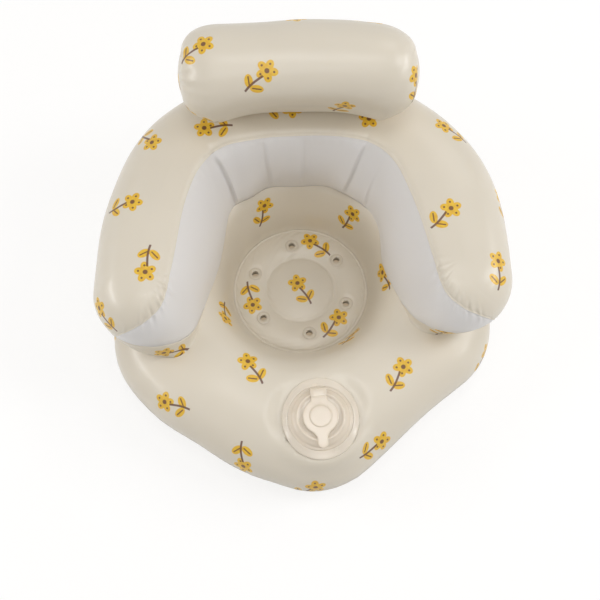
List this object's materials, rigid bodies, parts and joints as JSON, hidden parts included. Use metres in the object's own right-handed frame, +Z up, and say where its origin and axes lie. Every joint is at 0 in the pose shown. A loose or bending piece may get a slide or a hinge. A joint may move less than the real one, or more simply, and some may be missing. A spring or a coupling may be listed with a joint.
{
  "type": "inflatable baby seat",
  "caption": "Inflatable baby seat: pointed base with a round well, a raised arm and back ring, a headrest roll and a hand pump in the nose.",
  "frame": {"origin": "on the ground, under the middle of the round seat floor", "axes": "+Z up, the seat faces -Y, +X to the right of someone who looks at it from the front"},
  "size_m": [0.51, 0.5233, 0.331],
  "materials": {
    "printed_vinyl": "soft satin cream film with a light print of small flowers",
    "plain_vinyl": "soft satin cream film",
    "white_vinyl": "soft satin off-white film",
    "clear_vinyl": "milky glossy film",
    "moulded_vinyl": "satin moulded vinyl",
    "foam": "open-cell foam"
  },
  "bodies": {
    "seat": {"base_upper_skin": "printed_vinyl", "base_lower_skin": "plain_vinyl", "seat_floor_upper_sheet": "printed_vinyl", "seat_floor_lower_sheet": "plain_vinyl", "drain_eyelets": "clear_vinyl", "arm_ring_outer_skin": "printed_vinyl", "arm_ring_inner_wall": "white_vinyl", "headrest_tube": "printed_vinyl", "headrest_left_end": "printed_vinyl", "headrest_right_end": "printed_vinyl", "pump_flange": "clear_vinyl", "pump_cup": "moulded_vinyl", "pump_return_foam": "foam", "valve_flange": "clear_vinyl", "valve_plug_strap": "clear_vinyl"},
    "pump_dome": {"pump_dome": "moulded_vinyl", "pump_flap_strap": "moulded_vinyl"},
    "pump_flap": {"pump_flap": "moulded_vinyl"},
    "pump_outlet_flap": {"pump_outlet_flap": "clear_vinyl"},
    "valve_plug": {"valve_plug": "clear_vinyl"},
    "valve_check_flap": {"valve_check_flap": "clear_vinyl"}
  },
  "joints": [
    {"name": "pump_press", "type": "slide", "parent": "seat", "child": "pump_dome", "axis": [0, -0.0523, 0.9986], "range_m": [-0.012, 0], "stiffness_N_per_m": 600, "deforming": ["pump_return_foam"]},
    {"name": "pump_flap_hinge", "type": "hinge", "parent": "pump_dome", "child": "pump_flap", "pos_m": [0.01383, -0.17793, 0.11548], "axis": [-0.999, -0.0436, -0.0023], "range_deg": [0, 135]},
    {"name": "pump_outlet_hinge", "type": "hinge", "parent": "seat", "child": "pump_outlet_flap", "pos_m": [0.01465, -0.19465, 0.07575], "axis": [0.999, 0.0436, 0.0023], "range_deg": [0, 30], "stiffness_Nm_per_rad": 0.002},
    {"name": "valve_plug_hinge", "type": "hinge", "parent": "seat", "child": "valve_plug", "pos_m": [0, 0.2413, 0.1452], "axis": [-1, 0, 0], "range_deg": [0, 110]},
    {"name": "valve_check_hinge", "type": "hinge", "parent": "seat", "child": "valve_check_flap", "pos_m": [0, 0.2217, 0.1474], "axis": [1, 0, 0], "range_deg": [0, 35], "stiffness_Nm_per_rad": 0.002}
  ]
}
